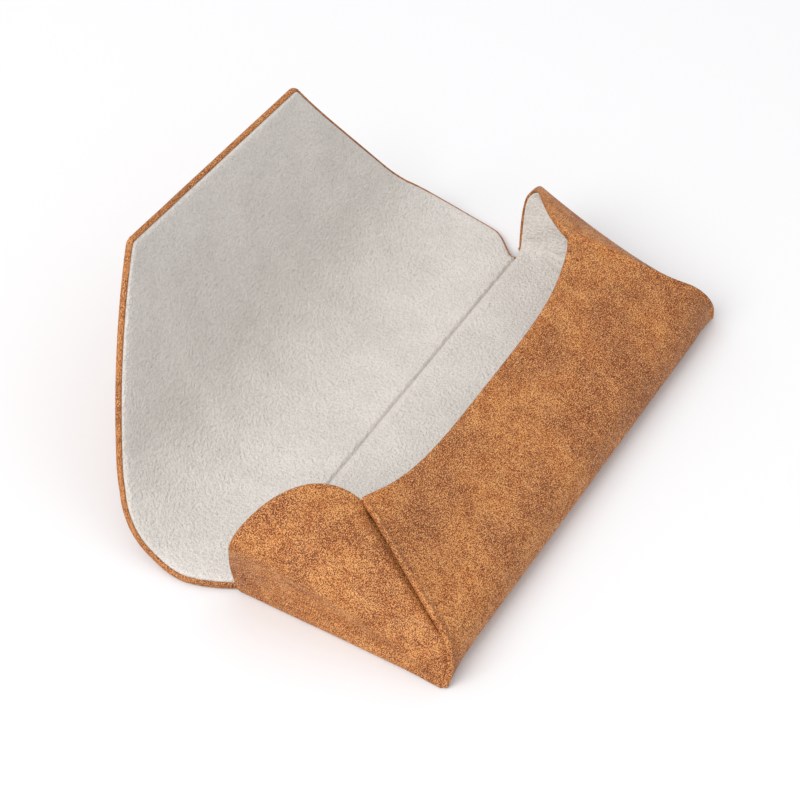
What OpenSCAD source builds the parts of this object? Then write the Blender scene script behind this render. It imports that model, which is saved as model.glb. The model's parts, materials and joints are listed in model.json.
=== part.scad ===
// Envelope-style soft eyeglasses case, lying open on its back panel.
// +Z is up, +Y points from the rolled bottom fold towards the flap, and X runs
// along the case.  The origin is on the surface that the case lies on, below
// the middle of the back panel.  Every wall is a laminate of an outer leather
// skin, a stiff board and a suede lining, built from the outside inwards.

/* [Pocket] */
// Distance from the bottom fold to the crease where the flap starts
back_depth = 66.6; // [62:0.2:72]
// Half length of the back panel's leather, between the end folds
back_half = 82.0; // [76:0.5:82.2]
// Slope of the front panel above the back panel, in degrees
front_slope = 26.57; // [22:0.1:30]
// Half length of the front panel where it leaves the bottom fold
front_low_half = 77.6; // [72:0.2:80]
// Half length of the front panel at the top of its side seams
front_top_half = 60.4; // [54:0.2:66]
// Height of the front panel up its slope, from the bottom fold to the seam tops
front_rise = 37.3; // [32:0.1:40]
// Depth of the scoop in the mouth edge
mouth_scoop = 7.9; // [2:0.1:12]
// How square the scoop's corners are
mouth_power = 4.4; // [2:0.1:6]
// Radius of the bottom fold where it leaves the back panel
fold_low_r = 5.5; // [4.5:0.1:7]
// Radius of the bottom fold where it runs into the front panel
fold_high_r = 11.5; // [9:0.1:14]
// How much the side seams spread per millimetre down the bottom fold
fold_spread = 0.4; // [0.2:0.01:0.45]

/* [Flap] */
// Length of the flap along its surface, from the crease to the tip
flap_length = 106.5; // [96:0.5:112]
// Half width of the flap at the crease, between the notches
notch_half = 80.6; // [76:0.2:81]
// Half width of the flap across its two round lobes
lobe_half = 86.9; // [84:0.1:90]
// Distance from the crease to the widest place of the lobes
lobe_at = 22; // [19:0.5:26]
// Half width of the straight edge at the tip
tip_half = 41.2; // [34:0.2:48]
// Distance from the crease to where the straight sides start
taper_at = 45; // [42:0.5:50]
// Length of the flap that lies flat next to the crease
flat_run = 14; // [11:0.5:16]
// Radius of the bend that lifts the flap
lift_r = 34; // [30:0.5:40]
// Angle turned by that bend, in degrees
lift_angle = 66.8; // [50:0.1:75]
// Radius of the gentle curve from the bend to the tip
tip_r = 200; // [150:1:300]

/* [Layers] */
// Thickness of the outer leather
leather_t = 0.9; // [0.7:0.05:1.1]
// Thickness of the board in the back, front and flap
board_t = 1.1; // [0.9:0.05:1.2]
// Thickness of the thinner board in the end wings
wing_board_t = 0.7; // [0.5:0.05:0.9]
// Thickness of the suede lining
lining_t = 0.7; // [0.5:0.05:0.8]
// Glue line between the leather and the board
glue_t = 0.1; // [0.05:0.01:0.1]
// Gap between the board and the lining, which also holds the magnet tape
fill_t = 0.2; // [0.15:0.01:0.2]
// Width of leather turned over an edge that the lining leaves bare
hem_w = 1.0; // [0.8:0.1:1.4]

/* [Magnets] */
// Diameter of the closing magnets
magnet_d = 12; // [8:0.5:14]
// Thickness of the closing magnets
magnet_t = 1.0; // [0.6:0.05:1.05]
// Half the distance between the two magnets of a pair
magnet_half = 20; // [14:0.5:24]
// Distance of the flap's magnets from the flap's tip
magnet_from_tip = 14; // [10:0.5:16]
// Height of the front panel's magnets up its slope
front_magnet_rise = 9; // [8.5:0.5:20]

/* [Hidden] */
$fn = 48;

LEATHER = "#B9743C";
LINING = "#B8B3AB";
BOARD = "#8C7B66";
STEEL = "#B9BCC0";
TAPE = "#E6E2D6";

// Depths of the layers below the outer face: [outer side, inner side]
leather_layer = [0, leather_t];
board_layer = [leather_t + glue_t, leather_t + glue_t + board_t];
lining_layer = [board_layer[1] + fill_t, board_layer[1] + fill_t + lining_t];
wing_board_layer = [leather_t + glue_t, leather_t + glue_t + wing_board_t];
wing_lining_layer = [wing_board_layer[1] + glue_t, wing_board_layer[1] + glue_t + lining_t];
wall_t = lining_layer[1];
tape_t = fill_t / 2;
tape_margin = 3;

// Living hinges across the flap, as distances from the crease, and the gap
// that the layers leave at each of them
hinge_at = [0, 10, 37, 48.3];
hinge_gap = 0.8;

// Side insets of the boards and of the lining from the leather's outline
flap_board_inset = 1.7;
back_board_inset = 2.5;
back_lining_inset = 1.6;
seam_clear = 3.2;
tab_w = 6;
tab_t = 0.6;
hem_side_w = 1.4;

// ---------------------------------------------------------------- sheets --

// Splits the four-sided face a, b, c, d into two triangles
function quad(a, b, c, d) = [[a, b, c], [a, c, d]];

// Closed sheet between two matching grids of points.  Seen from the side of
// the outer grid, rows run up and columns run to the right.
module sheet(outer, inner) {
    rows = len(outer);
    cols = len(outer[0]);
    n = rows * cols;
    points = concat([for (row = outer) each row], [for (row = inner) each row]);
    faces = [
        for (i = [0:rows - 2], j = [0:cols - 2])
            let (a = i * cols + j, b = a + 1, c = b + cols, d = a + cols)
                each concat(quad(d, c, b, a), quad(n + a, n + b, n + c, n + d)),
        for (j = [0:cols - 2])
            let (top = (rows - 1) * cols + j)
                each concat(quad(j, j + 1, n + j + 1, n + j),
                            quad(top + 1, top, n + top, n + top + 1)),
        for (i = [0:rows - 2])
            let (a = i * cols, b = a + cols - 1)
                each concat(quad(a + cols, a, n + a, n + a + cols),
                            quad(b, b + cols, n + b + cols, n + b))
    ];
    polyhedron(points, faces, convexity = 6);
}

function unit(v) = v / norm(v);
function ramp(a, b, steps) = [for (i = [0:steps]) a + (b - a) * i / steps];
function rad(a) = a * PI / 180;
function deg(a) = a * 180 / PI;

// ------------------------------------------------------------------ flap --

crease_y = back_depth / 2;
lift_end = flat_run + lift_r * rad(lift_angle);

// Tangent angle of the flap's outer face at the distance s from the crease
function flap_angle(s) =
    s < flat_run ? 0 :
    s < lift_end ? deg((s - flat_run) / lift_r) :
    lift_angle + deg((s - lift_end) / tip_r);

// Outer face of the flap, seen from the end, as [y, z]
function flap_outer(s) =
    let (a = flap_angle(s))
    s < flat_run ? [crease_y + s, 0] :
    s < lift_end ? [crease_y + flat_run + lift_r * sin(a), lift_r * (1 - cos(a))] :
    [crease_y + flat_run + lift_r * sin(lift_angle) + tip_r * (sin(a) - sin(lift_angle)),
     lift_r * (1 - cos(lift_angle)) + tip_r * (cos(lift_angle) - cos(a))];

function flap_point(s, x, depth) =
    let (p = flap_outer(s), a = flap_angle(s))
    [x, p[0] - depth * sin(a), p[1] + depth * cos(a)];

// The outline: an arc from the notch to the widest place, an arc into the
// straight side, and the side itself
taper_drop_r = (taper_at - lobe_at) / sin(atan2(lobe_half - tip_half, flap_length - taper_at));
taper_half = lobe_half - taper_drop_r
    + sqrt(pow(taper_drop_r, 2) - pow(taper_at - lobe_at, 2));
notch_drop = lobe_half - notch_half;
notch_r = (pow(lobe_at, 2) + pow(notch_drop, 2)) / (2 * notch_drop);

function flap_half(s) =
    s < lobe_at ? lobe_half - notch_r + sqrt(pow(notch_r, 2) - pow(lobe_at - s, 2)) :
    s < taper_at ? lobe_half - taper_drop_r + sqrt(pow(taper_drop_r, 2) - pow(s - lobe_at, 2)) :
    taper_half + (tip_half - taper_half) * (s - taper_at) / (flap_length - taper_at);

// Piece of the flap's laminate from s0 to s1, set in from the outline
module flap_sheet(s0, s1, layer, inset, steps) {
    function row(s, depth) =
        [for (side = [-1, 1]) flap_point(s, side * (flap_half(s) - inset), depth)];
    sheet([for (s = ramp(s1, s0, steps)) row(s, layer[0])],
          [for (s = ramp(s1, s0, steps)) row(s, layer[1])]);
}

// The two turned edges of the flap's sides from s0 to s1
module flap_side_hems(s0, s1, steps) {
    layer = [leather_t + glue_t / 2, wall_t - lining_t / 2];
    function row(s, depth) =
        [for (inset = [hem_side_w, 0]) flap_point(s, flap_half(s) - inset, depth)];
    for (side = [0, 1])
        mirror([side, 0, 0])
            sheet([for (s = ramp(s1, s0, steps)) row(s, layer[0])],
                  [for (s = ramp(s1, s0, steps)) row(s, layer[1])]);
}

// The k-th stretch of the flap between two living hinges
function stretch(k) =
    [hinge_at[k] + hinge_gap / 2,
     k < len(hinge_at) - 1 ? hinge_at[k + 1] - hinge_gap / 2 : flap_length];

module flap_skin(k, steps) {
    color(LEATHER)
        flap_sheet(stretch(k)[0], stretch(k)[1], leather_layer, 0, steps);
}

module flap_suede(k, steps, tip_gap = 0) {
    color(LINING)
        flap_sheet(stretch(k)[0], stretch(k)[1] - tip_gap, lining_layer,
                   hem_side_w + glue_t, steps);
}

module flap_stiffener(k, steps, tip_gap = 0) {
    color(BOARD)
        flap_sheet(stretch(k)[0], stretch(k)[1] - tip_gap, board_layer, flap_board_inset, steps);
}

module flap_hems(k, steps) {
    color(LEATHER)
        flap_side_hems(stretch(k)[0], stretch(k)[1], steps);
}

flap_magnet_at = flap_length - magnet_from_tip;

// Frame of a magnet in the flap, with its axis along the flap's normal
module at_flap_magnet(side) {
    p = flap_point(flap_magnet_at, side * magnet_half, board_layer[0] + board_t / 2);
    translate(p)
        rotate([flap_angle(flap_magnet_at), 0, 0])
            children();
}

module band_leather() { flap_skin(0, 1); }
module band_board() { flap_stiffener(0, 2); }
module band_lining() { flap_suede(0, 2); }
module band_hem() { flap_hems(0, 3); }

module roll_leather() { flap_skin(1, 9); }
module roll_board() { flap_stiffener(1, 9); }
module roll_lining() { flap_suede(1, 9); }
module roll_hem() { flap_hems(1, 9); }

module curl_leather() { flap_skin(2, 4); }
module curl_board() { flap_stiffener(2, 4); }
module curl_lining() { flap_suede(2, 4); }
module curl_hem() { flap_hems(2, 4); }

module flap_leather() { flap_skin(3, 10); }
module flap_lining() { flap_suede(3, 10, hem_side_w + glue_t); }

module flap_board() {
    color(BOARD)
        difference() {
            flap_sheet(stretch(3)[0], stretch(3)[1] - flap_board_inset, board_layer,
                       flap_board_inset, 10);
            for (side = [-1, 1])
                at_flap_magnet(side)
                    cylinder(d = magnet_d + 2 * glue_t, h = 2 * wall_t, center = true);
        }
}

module flap_hem() {
    tip = stretch(3)[1];
    start = tip - hem_side_w;
    layer = [leather_t + glue_t / 2, wall_t - lining_t / 2];
    function row(s, depth) =
        [for (side = [-1, 1]) flap_point(s, side * flap_half(tip), depth)];
    color(LEATHER) {
        flap_side_hems(stretch(3)[0], start - glue_t, 10);
        sheet([row(tip, layer[0]), row(start, layer[0])],
              [row(tip, layer[1]), row(start, layer[1])]);
    }
}

module flap_magnet(side) {
    color(STEEL)
        at_flap_magnet(side)
            cylinder(d = magnet_d, h = magnet_t, center = true);
}

module flap_magnet_tape() {
    reach = magnet_d / 2 + tape_margin;
    half = magnet_half + reach;
    layer = [board_layer[1] + tape_t / 2, board_layer[1] + 1.5 * tape_t];
    function row(s, depth) = [for (side = [-1, 1]) flap_point(s, side * half, depth)];
    color(TAPE)
        sheet([for (s = ramp(flap_magnet_at + reach, flap_magnet_at - reach, 4)) row(s, layer[0])],
              [for (s = ramp(flap_magnet_at + reach, flap_magnet_at - reach, 4)) row(s, layer[1])]);
}

// ---------------------------------------------- bottom fold and front panel --

fold_reach = 0.2;

// The fold starts where the back panel leaves the surface, turns up with the
// low radius and on with the high radius until it has the front panel's slope
fold_start = fold_low_r - fold_reach - crease_y;
fold_low_len = fold_low_r * PI / 2;
fold_high_angle = 90 - front_slope;
fold_len = fold_low_len + fold_high_r * rad(fold_high_angle);

// Angle that the outer face has turned at the distance p round the fold
function fold_turn(p) =
    p < fold_low_len ? deg(p / fold_low_r) : 90 + deg((p - fold_low_len) / fold_high_r);

// Outer face of the fold, seen from the end, as [y, z]
function fold_outer(p) =
    let (a = fold_turn(p))
    p < fold_low_len ? [fold_start - fold_low_r * sin(a), fold_low_r * (1 - cos(a))] :
    [fold_start - fold_low_r + fold_high_r * (1 - sin(a)),
     fold_low_r - fold_high_r * cos(a)];

front_foot = fold_outer(fold_len);

function fold_half(p) = front_low_half + fold_spread * (fold_len - max(p, corner_at));

// Outer face of the bottom fold and, beyond its length, of the front panel
function shell_point(p, x, depth) =
    let (a = min(fold_turn(p), 180 - front_slope), over = max(0, p - fold_len),
         q = fold_outer(min(p, fold_len)))
    [x,
     q[0] + over * cos(front_slope) + depth * sin(a),
     q[1] + over * sin(front_slope) + depth * cos(a)];

function front_half(q) = front_low_half + (front_top_half - front_low_half) * q / front_rise;

function seam_half(p) = p < fold_len ? fold_half(p) : front_half(p - fold_len);

module fold_sheet(p0, p1, layer, inset, steps) {
    function row(p, depth) = [for (side = [-1, 1]) shell_point(p, side * (seam_half(p) - inset), depth)];
    sheet([for (p = ramp(p0, p1, steps)) row(p, layer[0])],
          [for (p = ramp(p0, p1, steps)) row(p, layer[1])]);
}

module fold_leather() {
    color(LEATHER)
        fold_sheet(glue_t, fold_len, leather_layer, 0, 16);
}

module fold_lining() {
    color(LINING)
        fold_sheet(fold_low_r * 0.5, fold_len - glue_t, wing_lining_layer, seam_clear + 2, 12);
}

// Height of the mouth edge up the front panel's slope
function mouth_rise(x) =
    front_rise - mouth_scoop * (1 - pow(min(1, abs(x) / front_top_half), mouth_power));

// Half width at which a side line set in from the seam meets a mouth edge set
// in from the mouth, found by repeating the guess
function corner_half(side_inset, mouth_inset, guess, times) =
    times == 0 ? guess :
    corner_half(side_inset, mouth_inset,
                front_half(mouth_rise(guess) - mouth_inset) - side_inset, times - 1);

// The front panel's outline in its own plane, set in at the seams and the mouth
module front_outline(side_inset, mouth_inset, foot) {
    top_half = corner_half(side_inset, mouth_inset, front_top_half, 6);
    low_half = front_half(foot) - side_inset;
    polygon(concat(
        [[-low_half, foot], [low_half, foot]],
        [for (i = [16:-1:-16])
            let (x = top_half * i / 16)
                [x, mouth_rise(x) - mouth_inset]]));
}

// Puts a flat piece on the front panel, between two depths below its outer face
module on_front(layer) {
    translate([0, front_foot[0], front_foot[1]])
        rotate([front_slope, 0, 0])
            translate([0, 0, -layer[1]])
                linear_extrude(layer[1] - layer[0])
                    children();
}

module front_leather() {
    color(LEATHER)
        on_front(leather_layer)
            front_outline(0, 0, 0);
}

module front_board() {
    color(BOARD)
        on_front(board_layer)
            difference() {
                front_outline(seam_clear + tab_w + 0.4, hem_w + 1, 1);
                for (side = [-1, 1])
                    translate([side * magnet_half, front_magnet_rise])
                        circle(d = magnet_d + 2 * glue_t);
            }
}

module front_lining() {
    color(LINING)
        on_front(lining_layer)
            front_outline(seam_clear, hem_w, 0);
}

module mouth_hem() {
    color(LEATHER)
        on_front([leather_t + glue_t / 2, lining_layer[0] + lining_t / 2])
            difference() {
                front_outline(seam_clear, 0, front_rise / 2);
                front_outline(seam_clear - 1, hem_w - glue_t, front_rise / 2 - 1);
            }
}

module front_magnet(side) {
    mid = board_layer[0] + board_t / 2;
    color(STEEL)
        on_front([mid - magnet_t / 2, mid + magnet_t / 2])
            translate([side * magnet_half, front_magnet_rise])
                circle(d = magnet_d);
}

module front_magnet_tape() {
    reach = magnet_d / 2 + tape_margin - 1;
    color(TAPE)
        on_front([board_layer[1] + tape_t / 2, board_layer[1] + 1.5 * tape_t])
            translate([-magnet_half - reach, front_magnet_rise - reach])
                square([2 * (magnet_half + reach), 2 * reach]);
}

// ------------------------------------------------------------- back panel --

module back_slab(half, y0, y1, layer) {
    translate([-half, y0, layer[0]])
        cube([2 * half, y1 - y0, layer[1] - layer[0]]);
}

back_end = crease_y - hinge_gap / 2;

module back_leather() {
    color(LEATHER)
        back_slab(back_half, fold_start, back_end, leather_layer);
}

module back_board() {
    color(BOARD)
        back_slab(back_half - back_board_inset, fold_start + 1.5, back_end - 0.6, board_layer);
}

module back_lining() {
    color(LINING)
        back_slab(back_half - back_lining_inset, fold_start + 1, back_end, lining_layer);
}

// -------------------------------------------------------------- end wings --

// A wing is a cone with its point at the bottom corner.  Its free edge rises
// from the notch, bulges outwards and arches over to the top of the side seam.
corner_at = 4.5;
seam_len = fold_len + front_rise;
wing_tuck = leather_t + 0.15;
wing_edge_points = [
    [-83.2, crease_y - 0.6, 0], [-84.7, crease_y + 1.7, 10], [-85.6, crease_y + 0.3, 14.4],
    [-88.4, crease_y - 1.8, 23], [-92.5, crease_y - 5.1, 35.3], [-62.3, crease_y - 8.7, 42.5],
    seam_line(1)
];

// The side seam from the bottom corner (0) to its top (1), just under the
// front panel's leather
function seam_line(t) =
    let (p = corner_at + t * (seam_len - corner_at))
    shell_point(p, -seam_half(p), wing_tuck);

function bezier(a, b, c, d, t) =
    pow(1 - t, 3) * a + 3 * pow(1 - t, 2) * t * b + 3 * (1 - t) * t * t * c + pow(t, 3) * d;

function wing_edge(w) =
    let (e = wing_edge_points)
    w < 0.5 ? bezier(e[0], e[1], e[2], e[3], 2 * w) : bezier(e[3], e[4], e[5], e[6], 2 * w - 1);

// t runs from the corner to the free edge and w from the foot to the seam
function wing_face(t, w) =
    let (tip = seam_line(0), straight = tip + t * (seam_line(1) - tip))
    tip + t * (wing_edge(w) - tip) + pow(w, 3) * (seam_line(t) - straight);

function wing_point(t, w, depth) =
    let (e = 0.004,
         across = wing_face(t, min(1, w + e)) - wing_face(t, max(0, w - e)),
         along = wing_face(t + e, w) - wing_face(t - e, w))
    wing_face(t, w) + depth * unit(cross(along, across));

module wing_sheet(t0, t1, w0, w1, layer, rows, cols) {
    function row(t, depth) = [for (w = ramp(w0, w1, cols)) wing_point(t, w, depth)];
    sheet([for (t = ramp(t0, t1, rows)) row(t, layer[0])],
          [for (t = ramp(t0, t1, rows)) row(t, layer[1])]);
}

module wing_leather() {
    color(LEATHER)
        wing_sheet(0.06, 1, 0, 1, leather_layer, 8, 24);
}

module wing_board() {
    color(BOARD)
        wing_sheet(0.3, 0.965, 0.05, 0.9, wing_board_layer, 4, 20);
}

module wing_lining() {
    color(LINING)
        wing_sheet(0.22, 0.984, 0.03, 0.95, wing_lining_layer, 5, 22);
}

module wing_hem() {
    color(LEATHER)
        wing_sheet(0.986, 1, 0.03, 0.95,
                   [leather_t + 2 * glue_t, wing_lining_layer[0] + lining_t / 2], 1, 24);
}

// The wing's leather carried on under the front panel's edge, where it is glued
module seam_tab() {
    top = front_rise - 7;
    color(LEATHER)
        on_front([leather_t + glue_t / 2, leather_t + glue_t / 2 + tab_t])
            polygon([
                [seam_clear - front_half(0), 0],
                [seam_clear + tab_w - front_half(0), 0],
                [seam_clear + tab_w - front_half(top), top],
                [seam_clear - front_half(top), top]
            ]);
}

module right() { mirror([1, 0, 0]) children(); }

back_leather();
back_board();
back_lining();
fold_leather();
fold_lining();
front_leather();
front_board();
front_lining();
mouth_hem();
front_magnet(-1);  // front_magnet_left
front_magnet(1);  // front_magnet_right
front_magnet_tape();
wing_leather();  // left_wing_leather
wing_board();  // left_wing_board
wing_lining();  // left_wing_lining
wing_hem();  // left_wing_hem
seam_tab();  // left_seam_tab
right() wing_leather();  // right_wing_leather
right() wing_board();  // right_wing_board
right() wing_lining();  // right_wing_lining
right() wing_hem();  // right_wing_hem
right() seam_tab();  // right_seam_tab
band_leather();
band_board();
band_lining();
band_hem();
roll_leather();
roll_board();
roll_lining();
roll_hem();
curl_leather();
curl_board();
curl_lining();
curl_hem();
flap_leather();
flap_board();
flap_lining();
flap_hem();
flap_magnet(-1);  // flap_magnet_left
flap_magnet(1);  // flap_magnet_right
flap_magnet_tape();
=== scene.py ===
"""Soft fold-over eyeglasses case: leather covers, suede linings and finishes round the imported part."""

import json
import math

import bpy
from mathutils import Matrix, Vector, noise


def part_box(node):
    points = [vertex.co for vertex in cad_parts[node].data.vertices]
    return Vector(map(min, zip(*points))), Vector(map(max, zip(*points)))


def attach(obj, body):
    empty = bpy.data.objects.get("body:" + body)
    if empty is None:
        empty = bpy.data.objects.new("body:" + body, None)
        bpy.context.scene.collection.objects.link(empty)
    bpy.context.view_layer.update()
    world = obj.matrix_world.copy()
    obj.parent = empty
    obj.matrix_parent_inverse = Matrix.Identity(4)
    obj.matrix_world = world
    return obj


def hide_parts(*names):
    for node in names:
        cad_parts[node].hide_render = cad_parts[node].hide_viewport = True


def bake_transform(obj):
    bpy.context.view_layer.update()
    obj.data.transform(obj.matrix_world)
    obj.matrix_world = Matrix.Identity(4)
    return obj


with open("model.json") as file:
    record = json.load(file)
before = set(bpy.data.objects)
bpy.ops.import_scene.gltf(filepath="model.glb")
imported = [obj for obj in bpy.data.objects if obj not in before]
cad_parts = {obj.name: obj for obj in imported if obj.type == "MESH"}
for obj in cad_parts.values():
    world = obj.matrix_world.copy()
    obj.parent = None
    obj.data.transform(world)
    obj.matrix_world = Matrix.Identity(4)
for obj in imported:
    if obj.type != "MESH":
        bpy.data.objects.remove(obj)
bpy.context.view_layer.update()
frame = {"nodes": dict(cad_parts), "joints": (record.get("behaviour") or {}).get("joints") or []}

bl_info = {
    "name": "Soft eyeglasses case",
    "version": (1, 0, 0),
    "blender": (4, 5, 0),
    "location": "3D View > Sidebar > Case",
    "description": "Covers, linings, boards and magnets of a fold-over eyeglasses case",
    "category": "Object",
}

# --------------------------------------------------------------- sizes, mm --
# The cover is one long sheet.  Along it, u is the distance from the crease: the
# flap is at u > 0, then come the back panel, the bottom fold and the front.

MM = 0.001
JOINTS = {joint["name"]: joint for joint in frame["joints"]}
CREASE_Y = JOINTS["flap_crease"]["pos_m"][1] / MM
WALL = 3.0
LEATHER_T = 0.9
SHEET_T = 0.5

# The flap from the side: a flat run, a tight bend up, then a wide bend to the tip
FLAT_RUN = 14.0
LIFT_R = 34.0
LIFT_ANGLE = math.radians(66.8)
TIP_R = 200.0
LIFT_END = FLAT_RUN + LIFT_R * LIFT_ANGLE
FLAP_LENGTH = 106.5

# The flap's outline: half widths at the notch, the lobes and the tip edge
NOTCH_HALF = 80.6
NOTCH_FROM = -4.0
LOBE_HALF = 86.9
LOBE_AT = 22.0
TAPER_AT = 45.0
TIP_HALF = 41.2
NOTCH_DROP = LOBE_HALF - NOTCH_HALF
NOTCH_R = (LOBE_AT**2 + NOTCH_DROP**2) / (2 * NOTCH_DROP)
TAPER_ANGLE = math.atan2(LOBE_HALF - TIP_HALF, FLAP_LENGTH - TAPER_AT)
TAPER_R = (TAPER_AT - LOBE_AT) / math.sin(TAPER_ANGLE)
TAPER_HALF = LOBE_HALF - TAPER_R + math.sqrt(TAPER_R**2 - (TAPER_AT - LOBE_AT) ** 2)

# The bottom fold and the front panel, with the mouth cut hollow
FOLD_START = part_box("back_leather")[0].y / MM
FOLD_LOW_R = 5.5
FOLD_HIGH_R = 11.5
FOLD_LOW_LEN = FOLD_LOW_R * math.pi / 2
FRONT_SLOPE = math.radians(26.57)
FOLD_LEN = FOLD_LOW_LEN + FOLD_HIGH_R * (math.pi / 2 - FRONT_SLOPE)
FOLD_SPREAD = 0.4
CORNER_AT = 4.5
FRONT_LOW_HALF = 77.6
FRONT_TOP_HALF = 60.4
FRONT_RISE = 37.3
MOUTH_SCOOP = 7.9
MOUTH_POWER = 4.4

BACK_END = CREASE_Y - FOLD_START
FOLD_END = BACK_END + FOLD_LEN
CORNER_U = -BACK_END - CORNER_AT
BASE_TUCK = 1.3
# The ends of the bottom fold are pinched to a point where they meet the wings
PINCH_FROM = 66.0
PINCH_TO = 82.0
PINCH = 0.85
WING_TUCK = LEATHER_T + 0.15
WING_WALL = 2.5
WING_FOOT_X = 83.2

# How this case was cut and glued off the even pattern
LEFT_IN = 1.8
NOTCH_DEEPER = 4.1
LOBE_WIDER = 2.8
TIP_SHORTER = 3.4
CORNER_OUT = 3.5
CORNER_LOWER = 1.3
SWELL_LEFT = 0.4
SWELL_RIGHT = 1.7
CORNER_PRESSED = 0.85
GROOVE_DEPTH = 1.1
GROOVE_AT = -2.0

# Where the cover and the lining are cut, so that each piece crosses one joint.  A bend
# is its name, the bodies before and after it, and where it starts and ends along the sheet.
CUTS = (-12.0, 5.0, 23.0, 42.6, FLAP_LENGTH)
BENDS = (
    ("crease", "pocket", "band", -0.8, 2.6),
    ("bend", "band", "roll", 7.0, 15.0),
    ("curl", "roll", "curl", 32.0, 40.4),
    ("flap", "curl", "flap", 44.8, 53.5),
)


# -------------------------------------------------------------- the cover --
def smooth(value, low, high):
    """0 below low, 1 above high, and an even S between them."""
    t = min(1.0, max(0.0, (value - low) / (high - low)))
    return t * t * (3 - 2 * t)


def lerp(a, b, t):
    return a + (b - a) * t


def ramp(start, end, count):
    return [lerp(start, end, i / count) for i in range(count + 1)]


def spine(u):
    """Outer face of the cover seen from the end: y, z and the angle that it has turned."""
    if u >= LIFT_END:
        a = LIFT_ANGLE + (u - LIFT_END) / TIP_R
        y = CREASE_Y + FLAT_RUN + LIFT_R * math.sin(LIFT_ANGLE)
        z = LIFT_R * (1 - math.cos(LIFT_ANGLE))
        return (
            y + TIP_R * (math.sin(a) - math.sin(LIFT_ANGLE)),
            z + TIP_R * (math.cos(LIFT_ANGLE) - math.cos(a)),
            a,
        )
    if u >= FLAT_RUN:
        a = (u - FLAT_RUN) / LIFT_R
        return CREASE_Y + FLAT_RUN + LIFT_R * math.sin(a), LIFT_R * (1 - math.cos(a)), a
    if u >= -BACK_END:
        return CREASE_Y + u, 0.0, 0.0
    p = -BACK_END - u
    if p < FOLD_LOW_LEN:
        a = p / FOLD_LOW_R
        return FOLD_START - FOLD_LOW_R * math.sin(a), FOLD_LOW_R * (1 - math.cos(a)), -a
    a = math.pi / 2 + (min(p, FOLD_LEN) - FOLD_LOW_LEN) / FOLD_HIGH_R
    over = max(0.0, p - FOLD_LEN)
    y = FOLD_START - FOLD_LOW_R + FOLD_HIGH_R * (1 - math.sin(a))
    z = FOLD_LOW_R - FOLD_HIGH_R * math.cos(a)
    return y + over * math.cos(FRONT_SLOPE), z + over * math.sin(FRONT_SLOPE), -a


def cover_point(x, u, depth):
    """A point of the wall, depth mm inside the outer face."""
    y, z, a = spine(u)
    p = -BACK_END - u
    if 0 < p < FOLD_LOW_LEN and abs(x) > PINCH_FROM:
        square = smooth(abs(x), PINCH_FROM, PINCH_TO) * PINCH
        run = 2 * FOLD_LOW_R * p / FOLD_LOW_LEN
        y = lerp(y, FOLD_START - min(run, FOLD_LOW_R), square)
        z = lerp(z, max(0.0, run - FOLD_LOW_R), square)
    return Vector((x, y - depth * math.sin(a), z + depth * math.cos(a)))


def flap_half(s):
    if s < LOBE_AT:
        return LOBE_HALF - NOTCH_R + math.sqrt(NOTCH_R**2 - (LOBE_AT - s) ** 2)
    if s < TAPER_AT:
        return LOBE_HALF - TAPER_R + math.sqrt(TAPER_R**2 - (s - LOBE_AT) ** 2)
    return lerp(TAPER_HALF, TIP_HALF, (s - TAPER_AT) / (FLAP_LENGTH - TAPER_AT))


def seam_half(p):
    """Half width of the bottom fold and the front panel, p mm from the back panel."""
    if p < FOLD_LEN:
        return FRONT_LOW_HALF + FOLD_SPREAD * (FOLD_LEN - max(p, CORNER_AT))
    return lerp(FRONT_LOW_HALF, FRONT_TOP_HALF, (p - FOLD_LEN) / FRONT_RISE)


def cover_half(u):
    """Half width of the cover's outline at u."""
    base = WING_FOOT_X - BASE_TUCK
    if u >= 0:
        return flap_half(u)
    if u > NOTCH_FROM:
        return lerp(base, NOTCH_HALF, smooth(u, NOTCH_FROM, 0))
    if u > CORNER_U:
        along = (u - CORNER_U) / (NOTCH_FROM - CORNER_U)
        foot = lerp(seam_half(CORNER_AT), WING_FOOT_X, along)
        return foot - BASE_TUCK * smooth(u, CORNER_U, CORNER_U + 14)
    return seam_half(-BACK_END - u)


def mouth_u(x):
    """Place along the cover of the mouth edge at x."""
    share = min(1.0, abs(x) / FRONT_TOP_HALF)
    return -FOLD_END - FRONT_RISE + MOUTH_SCOOP * (1 - share**MOUTH_POWER)


def slope_of(curve, at, step=0.05):
    return (curve(at + step) - curve(at - step)) / (2 * step)


def inset_half(u, inset):
    """Half width of a line set in from the cover's outline by inset mm."""
    return cover_half(u) - inset * math.hypot(1, slope_of(cover_half, u))


def inset_mouth(x, inset):
    return mouth_u(x) + inset * math.hypot(1, slope_of(mouth_u, x))


def side_out(u, side):
    """Outward direction of the outline in the flat pattern, on the side -1 or 1."""
    return Vector((side, -slope_of(cover_half, u))).normalized()


def mouth_out(x):
    return Vector((slope_of(mouth_u, x), -1)).normalized()


# ------------------------------------------------------------ sheet making --
# Sections give the turned edge as (inset from the outline, depth in the wall).
FLAP_EDGE = (
    (3.0, 0.0), (2.1, 0.0), (1.3, 0.0), (0.8, 0.05), (0.38, 0.18), (0.1, 0.42), (0.0, 0.75),
    (0.0, 1.25), (0.05, 1.7), (0.2, 1.98), (0.43, 2.13), (0.66, 2.16), (0.83, 2.1),
    (0.94, 1.9), (1.02, 1.7), (2.4, 1.7), (4.0, 1.7),
)  # fmt: skip
SEAM_RIDGE = (
    (3.0, 0.0), (2.2, -0.02), (1.6, -0.2), (1.25, -0.58), (0.85, -0.8), (0.45, -0.7),
    (0.15, -0.35), (0.0, 0.1), (0.0, 0.6), (0.12, 0.95), (0.4, 1.15), (0.8, 1.2),
    (1.3, 1.2), (1.9, 1.2), (2.6, 1.2), (3.3, 1.2), (4.0, 1.2),
)  # fmt: skip
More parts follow.
